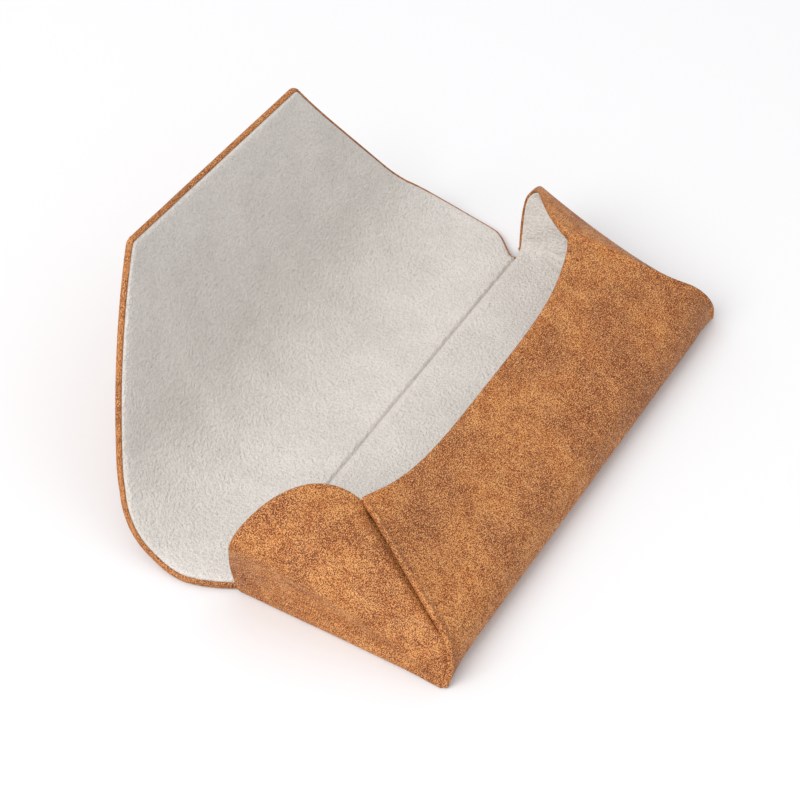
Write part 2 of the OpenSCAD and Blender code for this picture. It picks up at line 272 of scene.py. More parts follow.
BASE_EDGE = (
    (3.0, 0.0), (2.3, 0.0), (1.75, 0.0), (1.3, 0.0), (0.9, 0.0), (0.5, 0.02),
    (0.2, 0.08), (0.02, 0.25), (0.0, 0.6), (0.12, 0.95), (0.4, 1.15), (0.8, 1.2),
    (1.3, 1.2), (1.9, 1.2), (2.6, 1.2), (3.3, 1.2), (4.0, 1.2),
)  # fmt: skip
LINING_EDGE = (
    (3.0, 2.95), (2.2, 2.88), (1.7, 2.78), (1.35, 2.66), (1.1, 2.48), (0.97, 2.25), (0.92, 1.9),
)  # fmt: skip
WING_EDGE = (
    (2.6, 0.0), (1.8, 0.0), (1.1, 0.0), (0.65, 0.05), (0.3, 0.2), (0.08, 0.5), (0.0, 0.9),
    (0.0, 1.4), (0.08, 1.8), (0.3, 2.12), (0.6, 2.26), (0.9, 2.24), (1.08, 2.1),
    (1.2, 1.8), (2.4, 1.8), (4.0, 1.8),
)  # fmt: skip
WING_LINING_EDGE = ((1.9, 0.0), (1.5, -0.01), (1.28, -0.06), (1.15, -0.18), (1.12, -0.45))
EDGE_FROM = 3.0
LINING_SIDE = 2.4
SHARP_ANGLE = math.radians(55)
COLUMNS = 96
FLAP_STEP = 1.3
FRONT_ROWS = 24
FAN_STEPS = 7
FAN_SHARP = 0.65
WING_ROWS = 44


def between(a, b, t):
    return tuple((lerp(p[0], q[0], t), lerp(p[1], q[1], t)) for p, q in zip(a, b))


def turned_mark(depth):
    """How far the leather has gone over the edge, 0 to 1; the leather is darkened there as painted shade
    on the rims and in the gap beside the seam ridge.
    """
    return smooth(depth, 0.1, 0.7)


class Sheet:
    """Points in mm and the faces between them."""

    def __init__(self, place):
        self.place = place
        self.points = []
        self.turned = []
        self.faces = []

    def add(self, x, u, depth, turned=0.0):
        self.points.append(self.place(x, u, depth))
        self.turned.append(turned)
        return len(self.points) - 1

    def grid(self, rows):
        for low, high in zip(rows, rows[1:]):
            for a, b, c, d in zip(low, high, high[1:], low[1:]):
                corners = [a, b, c, d]
                kept = [v for i, v in enumerate(corners) if v != corners[i - 1]]
                if len(kept) > 2:
                    self.faces.append(kept)

    def edge(self, stations):
        """Lofts the edge.  A station is an anchor point, its flat place, the way out and a section."""
        rows = []
        for anchor, (x, u), out, section in stations:
            row = [anchor]
            start = section[0][0]
            for inset, depth in section[1:]:
                reach = start - inset
                row.append(
                    self.add(x + out[0] * reach, u + out[1] * reach, depth, turned_mark(depth))
                )
            rows.append(row)
        self.grid(rows)

    def build(self, name, inward):
        """Makes the object, with each point's place at rest and its turned mark kept on the mesh."""
        mesh = bpy.data.meshes.new(name)
        faces = [face[::-1] for face in self.faces] if inward else self.faces
        mesh.from_pydata([p * MM for p in self.points], [], faces)
        rest = mesh.attributes.new("rest", "FLOAT_VECTOR", "POINT")
        rest.data.foreach_set("vector", [v for p in self.points for v in p])
        mark = mesh.attributes.new("turned", "FLOAT", "POINT")
        mark.data.foreach_set("value", self.turned)
        mesh.polygons.foreach_set("use_smooth", [True] * len(mesh.polygons))
        mesh.update()
        obj = bpy.data.objects.new(name, mesh)
        bpy.context.scene.collection.objects.link(obj)
        thicken(obj)
        return obj


def thicken(obj):
    """Gives the sheet its thickness on the hidden side, as mesh."""
    solid = obj.modifiers.new("thickness", "SOLIDIFY")
    solid.thickness = SHEET_T * MM
    solid.offset = -1
    bpy.context.view_layer.update()
    made = obj.evaluated_get(bpy.context.evaluated_depsgraph_get())
    mesh = bpy.data.meshes.new_from_object(made)
    mesh.set_sharp_from_angle(angle=SHARP_ANGLE)
    obj.modifiers.clear()
    old = obj.data
    obj.data = mesh
    bpy.data.meshes.remove(old)
    mesh.name = obj.name


def declare(nodes):
    """Hides the imported pieces that the sheet stands for."""
    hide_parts(*nodes)


# ---------------------------------------------------------------- surfaces --
def sway(x, u, size, seed):
    """Soft unevenness of about -1 to 1 with humps of the given size in mm."""
    return noise.noise(Vector((x / size, u / size, seed)))


def hump(u, at, width):
    return math.exp(-(((u - at) / width) ** 2))


def hand_cut(x, u):
    """The flat pattern as this case was cut and glued, not quite even from side to side."""
    share = max(-1.0, min(1.0, x / cover_half(u)))
    shorter = TIP_SHORTER * smooth(u, 60, FLAP_LENGTH) * (1 + share) / 2
    if share < 0:
        near_crease = smooth(u, -5, -1) * smooth(-u, -28, -12)
        return x - LEFT_IN * near_crease * share**2, u - shorter
    notch = smooth(u, -4.4, -1.7) * smooth(-u, -10, 1.7)
    lobe = smooth(u, 30, 112)
    corner = smooth(-u, FOLD_END, FOLD_END + FRONT_RISE)
    out = LOBE_WIDER * lobe - NOTCH_DEEPER * notch + CORNER_OUT * corner
    return x + out * share**2, u - shorter - CORNER_LOWER * corner * share**2


def swell(x, u):
    """How far the bottom fold bulges past the boards, more towards the right."""
    p = -BACK_END - u
    along = smooth(p, 2, 9) * smooth(-p, -28, -13) * smooth(-x, -86, -66)
    return along * lerp(SWELL_LEFT, SWELL_RIGHT, (x / NOTCH_HALF + 1) / 2)


def leather_place(x, u, depth):
    """The cover, with the slight unevenness of leather glued over board."""
    free = smooth(cover_half(u) - abs(x), 0, 14)
    wave = (0.16 * sway(x, u, 34, 3.1) + 0.05 * sway(x, u, 9, 7.7)) * free
    lift = max(0.0, wave) if -BACK_END < u < FLAT_RUN else wave
    far = math.hypot(abs(x) - FRONT_TOP_HALF, u + FOLD_END + FRONT_RISE)
    pressed = CORNER_PRESSED * smooth(-far, -8, -1)
    x, u = hand_cut(x, u)
    return cover_point(x, u, depth + lift + pressed - swell(x, u))


def crease_groove(u):
    """Depth of the line that folding has pressed into the lining."""
    return GROOVE_DEPTH * hump(u, GROOVE_AT, 0.38)


def lining_place(x, u, depth):
    """The lining's face, with pebbling, faint slanting wrinkles and the crease."""
    wave = 0.05 * sway(x, u, 5.5, 1.3) + 0.11 * sway(x, u, 17, 5.9)
    slant = sway((x + u) * 0.3, u - x, 6, 2.2)
    near_lobe = smooth(-x, 35, 75) * smooth(u, 2, 14) * smooth(-u, -70, -50)
    wave += 0.12 * slant * (0.25 + near_lobe)
    drop = crease_groove(u) * smooth(depth, 1, 2.8)
    bead = 0.2 * hump(u, -4.4, 1.7) + 0.12 * hump(u, 0.6, 1.6)
    x, u = hand_cut(x, u)
    return cover_point(x, u, depth - drop + wave + bead)


def side_stations(anchors, us, side, inset, section):
    """Stations along one side; the section is one for all or worked out from u."""
    made = []
    for anchor, u in zip(anchors, us):
        x = side * inset_half(u, inset)
        part = section(u) if callable(section) else section
        made.append((anchor, (x, u), side_out(u, side), part))
    return made


def fan(anchor, place, out_a, out_b, section_a, section_b, sharp):
    """Stations round one corner; sharp is 0 for the full radius and 1 for a point."""
    turn = out_a.angle_signed(out_b)
    start = math.atan2(out_a.y, out_a.x)
    made = []
    for i in range(1, FAN_STEPS):
        t = i / FAN_STEPS
        angle = start - turn * t
        reach = lerp(1, 1 / math.cos(min(t, 1 - t) * turn), sharp)
        way = (reach * math.cos(angle), reach * math.sin(angle))
        made.append((anchor, place, way, between(section_a, section_b, t)))
    return made


def flap_strip(name, index, place, section, inward):
    """The stretch of the cover or the lining between two cuts, from side to side."""
    sheet = Sheet(place)
    inset, depth = section[0]
    start, end = CUTS[index], CUTS[index + 1]
    last = index == len(CUTS) - 2
    if last:
        end -= inset
    step = FLAP_STEP if index else FLAP_STEP / 4
    us = ramp(start, end, round((end - start) / step))
    rows = []
    for u in us:
        half = inset_half(u, inset)
        rows.append([sheet.add(x, u, depth) for x in ramp(-half, half, COLUMNS)])
    sheet.grid(rows)
    right = side_stations([r[-1] for r in rows], us, 1, inset, section)
    left = side_stations([r[0] for r in rows], us, -1, inset, section)[::-1]
    if last:
        tip_out = Vector((0, 1))
        half = inset_half(end, inset)
        across = zip(rows[-1][::-1], ramp(half, -half, COLUMNS))
        tip = [(anchor, (x, end), tip_out, section) for anchor, x in across]
        round_right = fan(
            rows[-1][-1], (half, end), side_out(end, 1), tip_out, section, section, 0
        )
        round_left = fan(
            rows[-1][0], (-half, end), tip_out, side_out(end, -1), section, section, 0
        )
        sheet.edge(right + round_right + tip + round_left + left)
    else:
        sheet.edge(right)
        sheet.edge(left)
    return sheet.build(name, inward)


def mouth_edge(x, top_x):
    """The turned edge of the mouth, thinner at the corners where it lies on the wings' edges."""
    return between(FLAP_EDGE, BASE_EDGE, smooth(abs(x), top_x - 9, top_x - 1))


def lining_side(u):
    """The lining's edge beside the wings, further in than at the mouth."""
    return tuple((inset + LINING_SIDE, depth) for inset, depth in LINING_EDGE)


def lining_mouth(x, top_x):
    return LINING_EDGE


def pocket_section(u):
    """The seam's ridge on the front and the fold, fading where the back panel begins."""
    low = smooth(u, CORNER_U - 0.2, CORNER_U + 2.6)
    top = smooth(-u, FOLD_END + FRONT_RISE - 5, FOLD_END + FRONT_RISE - 1)
    return between(SEAM_RIDGE, BASE_EDGE, max(low, 0.8 * top))


def mouth_corner(side_inset, mouth_inset):
    """Flat place of the corner between lines set in from the seam and the mouth."""
    x = FRONT_TOP_HALF - side_inset
    for _ in range(8):
        u = inset_mouth(x, mouth_inset)
        x = inset_half(u, side_inset)
    return x, inset_mouth(x, mouth_inset)


def pocket_strip(name, place, side_section, mouth_section, inward):
    """Back panel, bottom fold and front panel in one sheet up to the mouth."""
    sheet = Sheet(place)
    side_inset, depth = side_section(0)[0]
    mouth_inset = EDGE_FROM
    top_x, top_u = mouth_corner(side_inset, mouth_inset)
    us = ramp(CUTS[0], -BACK_END, 30)
    us += ramp(-BACK_END, CORNER_U, 5)[1:]
    us += ramp(CORNER_U, -FOLD_END, 16)[1:]
    rows = []
    for u in us:
        half = inset_half(u, side_inset)
        rows.append([sheet.add(x, u, depth) for x in ramp(-half, half, COLUMNS)])
    for t in ramp(0, 1, FRONT_ROWS)[1:]:
        edge_u = lerp(-FOLD_END, top_u, t)
        half = inset_half(edge_u, side_inset)
        row = []
        for c in ramp(-1, 1, COLUMNS):
            u = lerp(-FOLD_END, inset_mouth(c * top_x, mouth_inset), t)
            row.append(sheet.add(c * half, u, depth))
        rows.append(row)
        us.append(edge_u)
    sheet.grid([row[::-1] for row in rows])
    left = side_stations([r[0] for r in rows], us, -1, side_inset, side_section)
    right = side_stations([r[-1] for r in rows], us, 1, side_inset, side_section)[::-1]
    mouth = [
        (rows[-1][i], (x, inset_mouth(x, mouth_inset)), mouth_out(x), mouth_section(x, top_x))
        for i, x in enumerate(ramp(-top_x, top_x, COLUMNS))
    ]
    ridge, hem = left[-1][3], mouth_section(top_x, top_x)
    out_left, out_right = side_out(top_u, -1), side_out(top_u, 1)
    round_left = fan(
        rows[-1][0], (-top_x, top_u), out_left, mouth_out(-top_x), ridge, hem, FAN_SHARP
    )
    round_right = fan(
        rows[-1][-1], (top_x, top_u), mouth_out(top_x), out_right, hem, ridge, FAN_SHARP
    )
    sheet.edge(left + round_left + mouth + round_right + right)
    return sheet.build(name, inward)


# ------------------------------------------------------------------- wings --
def bezier(a, b, c, d, t):
    """The point at t of the cubic curve from a to d."""
    s = 1 - t
    return a * s**3 + b * 3 * s * s * t + c * 3 * s * t * t + d * t**3


def hermite(a, b, out_a, out_b, t):
    """A bend from a to b that leaves along out_a and arrives along out_b."""
    reach = (b - a).length * 0.45
    return bezier(a, a + out_a * reach, b - out_b * reach, b, t)


# Free edge of each wing as offsets from the crease's height: x outwards, y, z
FREE_EDGES = {
    -1: (
        (83.2, -0.6, 0.0), (84.7, 1.7, 10.0), (85.6, 0.3, 14.4), (88.4, -1.8, 23.0),
        (92.5, -5.1, 35.3), (62.3, -8.7, 42.5),
    ),
    1: (
        (82.6, -0.6, 0.0), (84.3, 0.6, 8.5), (85.9, 0.2, 18.5), (86.7, -0.7, 20.2),
        (90.6, -4.9, 28.4), (71.1, -9.6, 34.8),
    ),
}  # fmt: skip
# How far up the wing the base fold ends, as a share of its height, in leather and lining
WING_FILLET = 0.035
LINING_FILLET = 0.14
# Where the wing's foot ends beside the crease, and how far its lining runs out below the other
FOOT_END = -0.6
LINING_FOOT_END = -1.2
SUNK = 0.12
WING_DISH = 2.6
SEAM_DIP = 0.85
# Rows of the wing from the back panel (-1) over its foot (0) to the seam (1); the last two
# rows of the leather go on under the front panel's edge
WING_ACROSS = ramp(-1, 0, 10) + ramp(0, 1, 44)[1:] + [1.05, 1.12]
LINING_ACROSS = ramp(-1, 0, 12) + ramp(0, 1, 44)[1:]
WING_FROM = 0.012
LINING_FROM = 0.1


class Wing:
    """An end wing, worked out as a left one: a cone with its point at the bottom corner."""

    def __init__(self, side):
        self.side = side
        self.points = [Vector((-x, CREASE_Y + y, z)) for x, y, z in FREE_EDGES[side]]
        self.points.append(self.seam(1))

    def seam(self, t, tuck=WING_TUCK, inset=0.0):
        """The side seam from the bottom corner (0) to the mouth (1), as on the left."""
        p = lerp(CORNER_AT, FOLD_LEN + FRONT_RISE, t)
        x, u = hand_cut(self.side * (seam_half(p) - inset), -BACK_END - p)
        point = cover_point(x, u, tuck - swell(x, u))
        return Vector((-abs(point.x), point.y, point.z))

    def free_edge(self, w):
        e = self.points
        return bezier(*e[0:4], 2 * w) if w < 0.5 else bezier(*e[3:7], 2 * w - 1)

    def face(self, t, w):
        """Outer face: t from the corner to the free edge, w from the foot to the seam."""
        tip = self.seam(0)
        straight = tip.lerp(self.seam(1), t)
        point = tip + t * (self.free_edge(w) - tip) + w**3 * (self.seam(t) - straight)
        dish = 4 * t * (1 - t) * math.sin(math.pi * w) ** 2
        point.x += WING_DISH * dish
        return point

    def skin(self, t, v):
        """Outer face from the back panel's edge (v = -1) over the base fold (0) to the seam (1)."""
        if v > 1:
            sunk = SEAM_DIP * smooth(-t, -1, -0.9) + smooth(t, 0.8, 1) * smooth(v, 1, 1.05)
            sunk += (v - 1) * 3
            return self.seam(t * (1 - 0.55 * (v - 1)), WING_TUCK + sunk, (v - 1) * 20)
        if v >= 0:
            w = lerp(WING_FILLET, 1, v)
            point = self.face(t, w)
            if v > 0.95:
                dip = SEAM_DIP * smooth(v, 0.95, 1) * smooth(t, 0.01, 0.08) * smooth(-t, -1, -0.9)
                point += self.inward(self.face, t, w, 0, 1, 0.004) * dip
            return point
        u = lerp(CORNER_U, FOOT_END, t)
        foot = cover_point(-cover_half(min(u, NOTCH_FROM)), u, 0)
        start = self.face(t, WING_FILLET)
        rise = (self.face(t, WING_FILLET + 0.02) - start).normalized()
        return hermite(foot, start, Vector((-1, 0, 0)), rise, v + 1)

    def inner(self, t, v):
        """Inner face, running out on the back panel's lining at v = -1."""
        if v >= 0:
            w = lerp(LINING_FILLET, 0.97, v)
            return self.face(t, w) + self.inward(self.face, t, w, 0, 1, 0.004) * WING_WALL
        u = lerp(CORNER_U, LINING_FOOT_END, t)
        reach = lerp(3.5, 6.5, t)
        foot = cover_point(reach - cover_half(min(u, NOTCH_FROM)), u, WALL - SUNK)
        start = self.inner(t, 0)
        rise = (self.inner(t, 0.02) - start).normalized()
        return hermite(foot, start, Vector((-1, 0, 0)), rise, v + 1)

    def inward(self, surface, t, v, low, high, step):
        """The way into the wall; low and high are as far as v may go on this surface."""
        across = surface(t, min(high, v + step)) - surface(t, max(low, v - step))
        along = surface(t + step, v) - surface(t - step, v)
        return along.cross(across).normalized()

    def wrinkle(self, t, v):
        """Soft folds of the wing's lining that run out from the notch."""
        along, up = (1 - t) * 66, (v + 0.3) * 34
        turn = math.atan2(up, along + 3)
        far = math.hypot(along, up)
        fade = smooth(far, 3, 10) * smooth(-far, -48, -22)
        fold = math.sin(turn * 13 + 1.3 * sway(along, up, 14, 4.4 * self.side) + self.side)
        return 0.22 * fold * fade + 0.16 * sway(along, up, 9, 8.8 + self.side)

    def sheet(self, name, surface, section, v_list, t_start, lining):
        """The wing's leather or lining from near its corner to the turned free edge."""
        sheet = Sheet(None)

        def add(t, v, depth, turned=0.0):
            base = surface(t, v)
            way = self.inward(surface, t, v, -1, 2, 0.01)
            uneven = self.wrinkle(t, v) if lining else 0.16 * noise.noise(base / 26)
            point = base + way * (depth + uneven)
            sheet.points.append(Vector((-self.side * point.x, point.y, point.z)))
            sheet.turned.append(turned)
            return len(sheet.points) - 1

        lengths = [(surface(1, v) - surface(0.9, v)).length * 10 for v in v_list]
        inset, depth = section[0]
        rows = []
        for share in ramp(0, 1, WING_ROWS):
            ends = [lerp(t_start, 1 - inset / length, share) for length in lengths]
            rows.append([add(t, v, depth) for t, v in zip(ends, v_list)])
        for inset, deep in section[1:]:
            mark = turned_mark(deep)
            rows.append(
                [add(1 - inset / length, v, deep, mark) for v, length in zip(v_list, lengths)]
            )
        sheet.grid(rows if self.side == 1 else [row[::-1] for row in rows])
        return sheet.build(name, lining)


# --------------------------------------------------------------- materials --
def linear(value):
    """An sRGB hex colour as the linear RGBA that shaders use."""
    parts = [int(value[i : i + 2], 16) / 255 for i in (1, 3, 5)]
    return [p / 12.92 if p <= 0.04045 else ((p + 0.055) / 1.055) ** 2.4 for p in parts] + [1.0]


def add_node(tree, kind, settings=None, links=None):
    """Adds a node, sets its properties and sockets, and links outputs to its inputs."""
    made = tree.nodes.new(kind)
    for name, value in (settings or {}).items():
        if isinstance(name, str) and hasattr(made, name):
            setattr(made, name, value)
        else:
            made.inputs[name].default_value = value
    for name, output in (links or {}).items():
        tree.links.new(output, made.inputs[name])
    return made


def new_material(name):
    material = bpy.data.materials.new(name)
    material.use_nodes = True
    material.node_tree.nodes.clear()
    return material, material.node_tree


def pattern_mm(tree):
    """Where each point lies with the case open, in mm, so that a pattern stays put as a piece bends."""
    return add_node(tree, "ShaderNodeAttribute", {"attribute_name": "rest"}).outputs["Vector"]


def finish_material(tree, shader):
    add_node(tree, "ShaderNodeOutputMaterial", {}, {"Surface": shader.outputs[0]})


def leather_material(finish):
    """Cloud-dyed split leather with a thin resin coat, plated with a fine grain.

    Matt with a faint gloss.  Brown clouds lie over an orange tan, with short dark creases, and dye
    that has sunk into the grain shows as fine dark pinpoints, closest in the clouds.  The real
    grain is finer than the pinpoints, which are as coarse as they need to be to show.
    """
    material, tree = new_material("split_leather_cloud_dyed")
    place = pattern_mm(tree)
    stretched = add_node(
        tree,
        "ShaderNodeMapping",
        {"Rotation": (0.0, 0.4, 0.5), "Scale": (1.0, 0.33, 1.0)},
        {"Vector": place},
    ).outputs[0]
    noises = {}
    for name, where, size, detail, roughness, twist in (
        ("cloud", place, finish.cloud_size, 2.5, 0.55, 0.4),
        ("patch", place, 5.0, 3.0, 0.6, 0.0),
        ("crease", stretched, 1.3, 3.0, 0.65, 0.9),
        ("grain", place, finish.speck_size, 1.5, 0.6, 0.0),
        ("swell", place, 1.6, 2.0, 0.6, 0.5),
    ):
        noises[name] = add_node(
            tree,
            "ShaderNodeTexNoise",
            {"Scale": 1 / size, "Detail": detail, "Roughness": roughness, "Distortion": twist},
            {"Vector": where},
        ).outputs[0]
    noises["pinpoint"] = add_node(
        tree,
        "ShaderNodeMath",
        {"operation": "MULTIPLY_ADD", 1: 0.12},
        {0: noises["cloud"], 2: noises["grain"]},
    ).outputs[0]
    edge = add_node(tree, "ShaderNodeAttribute", {"attribute_name": "turned"})
    colour = None
    shares = {}
    for name, source, low, high, top, blend, above in (
        ("cloud", noises["cloud"], 0.40, 0.68, 1.0, "MIX", finish.brown),
        ("patch", noises["patch"], 0.38, 0.64, 1.0, "MULTIPLY", "#E8D3C3"),
        ("crease", noises["crease"], 0.50, 0.60, 0.7, "MULTIPLY", "#C4A084"),
        # painted shade: the turned rims and the gap beside the seam ridge are darkened towards the edge
        # colour
        ("painted_edge_shade", edge.outputs["Fac"], 0.0, 1.0, 0.6, "MIX", finish.edge),
        ("fleck", noises["grain"], 0.48, 0.36, 0.75, "MIX", finish.pale),
        ("pinpoint", noises["pinpoint"], 0.55, 0.63, 0.95, "MIX", finish.speck),
    ):
        shares[name] = add_node(
            tree,
            "ShaderNodeMapRange",
            {"interpolation_type": "SMOOTHSTEP", "From Min": low, "From Max": high, "To Max": top},
            {"Value": source},
        ).outputs[0]
        mix = add_node(
            tree,
            "ShaderNodeMix",
            {"data_type": "RGBA", "blend_type": blend, 6: linear(finish.tan), 7: linear(above)},
            {0: shares[name], 6: colour} if colour else {0: shares[name]},
        )
        colour = mix.outputs[2]
    relief = add_node(
        tree,
        "ShaderNodeMath",
        {"operation": "MULTIPLY_ADD", 1: 0.8},
        {0: noises["grain"], 2: noises["swell"]},
    ).outputs[0]
    relief = add_node(
        tree,
        "ShaderNodeMath",
        {"operation": "MULTIPLY_ADD", 1: -0.5},
        {0: shares["crease"], 2: relief},
    ).outputs[0]
    bump = add_node(
        tree,
        "ShaderNodeBump",
        {"Strength": 0.45, "Distance": 0.16 * MM},
        {"Height": relief},
    )
    rough = add_node(
        tree, "ShaderNodeMapRange", {"To Min": 0.56, "To Max": 0.68}, {"Value": shares["patch"]}
    )
    shader = add_node(
        tree,
        "ShaderNodeBsdfPrincipled",
        {"IOR": 1.5, "Specular IOR Level": 0.3},
        {"Base Color": colour, "Roughness": rough.outputs[0], "Normal": bump.outputs[0]},
    )
    finish_material(tree, shader)
    return material


def suede_material(finish):
    """Microfibre suede, brushed.

    A soft nap that lies in patches, so that it is pebbled with light and dark, and catches light
    at grazing angles.  The pebbling drawn here stands for tufts that are finer than it.
    """
    material, tree = new_material("microfibre_suede_brushed")
    place = pattern_mm(tree)
    noises = {}
    colour = None
    for name, size, detail, roughness, low, high, top, above in (
        ("lay", 16.0, 3.0, 0.6, 0.35, 0.65, 1.0, finish.lining_shade),
        ("nap", 0.45, 2.0, 0.7, 0.46, 0.70, 0.26, "#8C8682"),
        ("pebble", 0.95, 2.0, 0.6, 0.50, 0.72, 0.18, "#8C8682"),
    ):
        noises[name] = add_node(
            tree,
            "ShaderNodeTexNoise",
            {"Scale": 1 / size, "Detail": detail, "Roughness": roughness},
            {"Vector": place},
        ).outputs[0]
        share = add_node(
            tree,
            "ShaderNodeMapRange",
            {"From Min": low, "From Max": high, "To Max": top},
            {"Value": noises[name]},
        ).outputs[0]
        mix = add_node(
            tree,
            "ShaderNodeMix",
            {"data_type": "RGBA", 6: linear(finish.lining), 7: linear(above)},
            {0: share, 6: colour} if colour else {0: share},
        )
        colour = mix.outputs[2]
    relief = add_node(
        tree,
        "ShaderNodeMath",
        {"operation": "MULTIPLY_ADD", 1: -0.4},
        {0: noises["nap"], 2: noises["pebble"]},
    )
    bump = add_node(
        tree,
        "ShaderNodeBump",
        {"invert": True, "Strength": 1.0, "Distance": 0.8 * MM},
        {"Height": relief.outputs[0]},
    )
    shader = add_node(
        tree,
        "ShaderNodeBsdfPrincipled",
        {
            "Roughness": 0.92,
            "Specular IOR Level": 0.15,
            "Sheen Weight": 0.2,
            "Sheen Roughness": 0.5,
            "Sheen Tint": linear("#F2EDE8"),
        },
        {"Base Color": colour, "Normal": bump.outputs[0]},
    )
    finish_material(tree, shader)
    return material


def board_material():
    """Greyboard, pressed from pulp.  Dull, with flecks of longer fibre."""
    material, tree = new_material("greyboard_pressed")
    place = add_node(tree, "ShaderNodeTexCoord").outputs["Object"]
    fleck = add_node(
        tree,
        "ShaderNodeTexNoise",
        {"Scale": 1 / (1.5 * MM), "Detail": 4.0, "Distortion": 1.0},
        {"Vector": place},
    )
    colour = add_node(
        tree,
        "ShaderNodeMix",
        {"data_type": "RGBA", 6: linear("#8C857A"), 7: linear("#B5AEA2")},
        {0: fleck.outputs[0]},
    )
    bump = add_node(
        tree,
        "ShaderNodeBump",
        {"Strength": 0.4, "Distance": 0.05 * MM},
        {"Height": fleck.outputs[0]},
    )
    shader = add_node(
        tree,
        "ShaderNodeBsdfPrincipled",
        {"Roughness": 0.9},
        {"Base Color": colour.outputs[2], "Normal": bump.outputs[0]},
    )
    finish_material(tree, shader)
    return material


def magnet_material():
    """Sintered magnet, nickel plated and tumbled.  A bright satin metal with faint cloudiness."""
    material, tree = new_material("nickel_plated_tumbled")
    place = add_node(tree, "ShaderNodeTexCoord").outputs["Object"]
    haze = add_node(
        tree,
        "ShaderNodeTexNoise",
        {"Scale": 1 / (0.8 * MM), "Detail": 3.0},
        {"Vector": place},
    )
    rough = add_node(
        tree,
        "ShaderNodeMapRange",
        {"To Min": 0.22, "To Max": 0.4},
        {"Value": haze.outputs[0]},
    )
    shader = add_node(
        tree,
        "ShaderNodeBsdfPrincipled",
        {"Base Color": linear("#C9C6BF"), "Metallic": 1.0},
        {"Roughness": rough.outputs[0]},
    )
    finish_material(tree, shader)
    return material


def tape_material():
    """Nonwoven polyester tape, calendered.  White, with a scatter of crossing fibres."""
    material, tree = new_material("nonwoven_polyester_calendered")
    place = add_node(tree, "ShaderNodeTexCoord").outputs["Object"]
    fibres = add_node(
        tree,
        "ShaderNodeTexNoise",
        {"Scale": 1 / (0.6 * MM), "Detail": 5.0, "Distortion": 2.0},
        {"Vector": place},
    )
    colour = add_node(
        tree,
        "ShaderNodeMix",
        {"data_type": "RGBA", 6: linear("#D9D7D0"), 7: linear("#F1F0EC")},
        {0: fibres.outputs[0]},
    )
    shader = add_node(
        tree,
        "ShaderNodeBsdfPrincipled",
        {"Roughness": 0.75},
        {"Base Color": colour.outputs[2]},
    )
    finish_material(tree, shader)
    return material


def shared_material(name, make, *settings):
    """The material of that name, made the first time that a piece needs it."""
    return bpy.data.materials.get(name) or make(*settings)


def dress(obj, material):
    obj.data.materials.clear()
    obj.data.materials.append(material)


def flap_sheets(prefix, place, section, inward, material, layers):
    """The flap's leather or lining, in one stretch for each of the crease, the bend, the curl and the
    flap.
    """
    for index, (kind, low, high, start, end) in enumerate(BENDS):
        sheet = flap_strip(f"{prefix}_{kind}", index, place, section, inward)
        dress(sheet, material)
        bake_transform(sheet)
        declare(
            [f"{high}_{layer}" for layer in layers],
        )


# ---------------------------------------------------------------- settings --
class CaseFinish(bpy.types.PropertyGroup):
    """Colours and grain of the covers and linings."""

    tan: bpy.props.StringProperty(
        name="Leather ground", description="Lightest ground colour, sRGB hex", default="#D18D50"
    )
    brown: bpy.props.StringProperty(
        name="Leather cloud", description="Colour of the dye clouds, sRGB hex", default="#B27043"
    )
    speck: bpy.props.StringProperty(
        name="Leather pinpoints", description="Dye in the grain, sRGB hex", default="#5E2F16"
    )
    pale: bpy.props.StringProperty(
        name="Leather flecks", description="Pale flecks of the ground, sRGB hex", default="#E5AA6A"
    )
    # Colour of the turned edges, darker than the ground: painted shade on the rims and in the gap beside
    # the seam ridge
    edge: bpy.props.StringProperty(
        name="Turned edges", description="Leather stretched over an edge, sRGB hex", default="#AD6A38"
    )
    lining: bpy.props.StringProperty(
        name="Lining", description="Suede colour, sRGB hex", default="#E3DDD7"
    )
    lining_shade: bpy.props.StringProperty(
        name="Lining shade", description="Suede brushed the other way, sRGB hex", default="#D9D3CD"
    )
    cloud_size: bpy.props.FloatProperty(
        name="Cloud size",
        description="Distance between clouds, in mm",
        default=26.0,
        min=5.0,
        max=80.0,
    )
    speck_size: bpy.props.FloatProperty(
        name="Pinpoint size",
        description="Distance between pinpoints, in mm",
        default=0.29,
        min=0.2,
        max=5.0,
    )


class CaseStage(bpy.types.PropertyGroup):
    """Camera, floor and light."""

    lens: bpy.props.FloatProperty(
        name="Lens",
        description="Focal length on a 36 mm sensor, in mm",
        default=108.9,
        min=20,
        max=300,
    )
    floor_colour: bpy.props.StringProperty(
        name="Floor", description="Colour of the floor, sRGB hex", default="#EAEAEC"
    )


# --------------------------------------------------------------- operators --
def leather(context):
    return shared_material("split_leather_cloud_dyed", leather_material, context.scene.case_finish)


def suede(context):
    return shared_material("microfibre_suede_brushed", suede_material, context.scene.case_finish)


class CASE_OT_pocket_cover(bpy.types.Operator):
    """Makes the leather over the back panel, the bottom fold and the front panel"""

    bl_idname = "case.pocket_cover"
    bl_label = "Pocket cover"

    def execute(self, context):
        cover = pocket_strip("cover_pocket", leather_place, pocket_section, mouth_edge, False)
        dress(cover, leather(context))
        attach(cover, "pocket")
        declare(
            ("back_leather", "back_board", "fold_leather", "front_leather", "mouth_hem"),
        )
        return {"FINISHED"}


class CASE_OT_flap_covers(bpy.types.Operator):
    """Makes the leather of the flap in one stretch for each of the crease, the bend, the curl and the
    flap
    """

    bl_idname = "case.flap_covers"
    bl_label = "Flap covers"

    def execute(self, context):
        flap_sheets(
            "cover",
            leather_place,
            FLAP_EDGE,
            False,
            leather(context),
            ("leather", "hem", "board"),
        )
        return {"FINISHED"}


